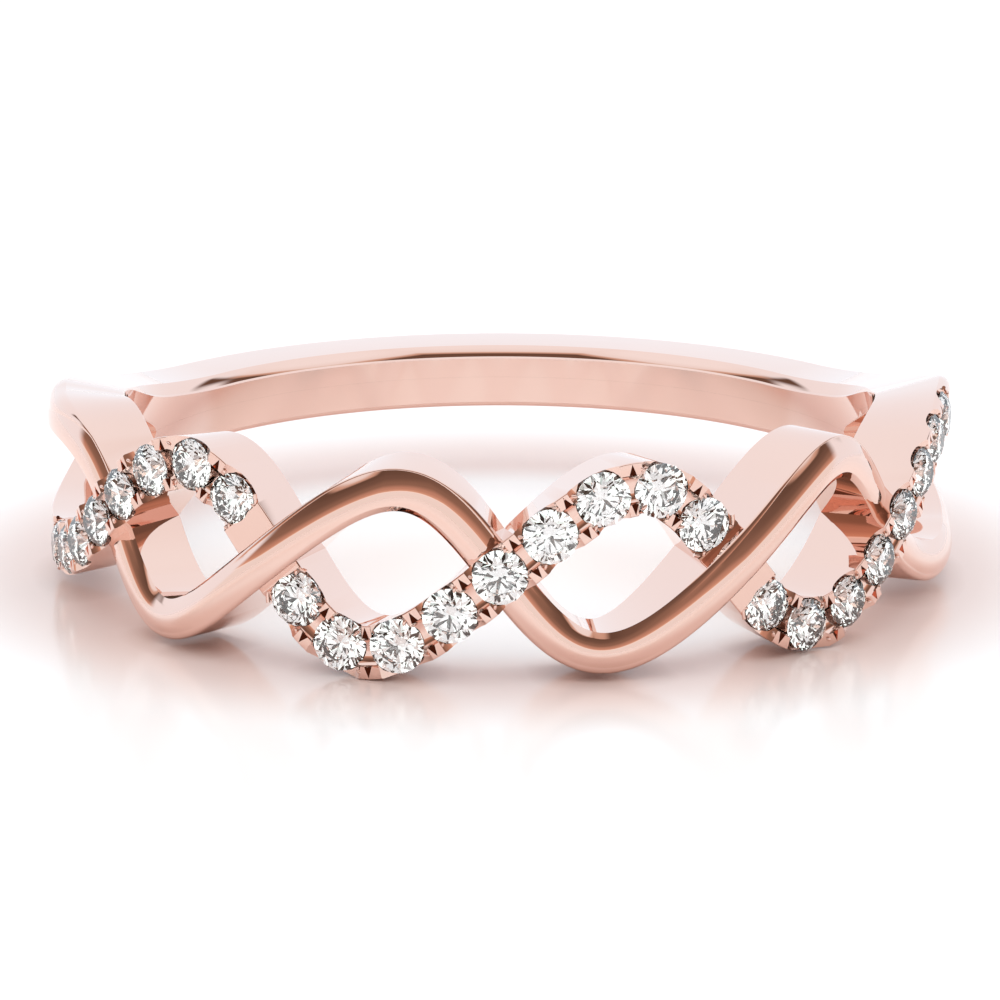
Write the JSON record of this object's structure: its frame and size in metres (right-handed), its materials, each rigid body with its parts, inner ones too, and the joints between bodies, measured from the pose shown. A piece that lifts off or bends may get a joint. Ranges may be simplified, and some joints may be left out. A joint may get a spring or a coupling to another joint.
{
  "type": "wedding band",
  "caption": "Wedding band with a plain rear shank, whose polished strand and stone-set strand wind over and under each other across the front.",
  "frame": {"origin": "middle of the finger hole, on its axis and midway between the ring's two sides", "axes": "+Z along the finger hole, up as the ring lies on its side; -Y towards the front, where the stones are; +X to the right as seen from the front"},
  "size_m": [0.0208, 0.0209, 0.0048],
  "materials": {
    "rose_gold": "mirror polished",
    "stones": "faceted and polished"
  },
  "bodies": {
    "root": {"band": "rose_gold", "stone_01": "stones", "stone_02": "stones", "stone_03": "stones", "stone_04": "stones", "stone_05": "stones", "stone_06": "stones", "stone_07": "stones", "stone_08": "stones", "stone_09": "stones", "stone_10": "stones", "stone_11": "stones", "stone_12": "stones", "stone_13": "stones", "stone_14": "stones", "stone_15": "stones", "stone_16": "stones", "stone_17": "stones", "stone_18": "stones", "stone_19": "stones", "stone_20": "stones", "stone_21": "stones", "stone_22": "stones", "stone_23": "stones", "stone_24": "stones", "stone_25": "stones"}
  },
  "joints": []
}
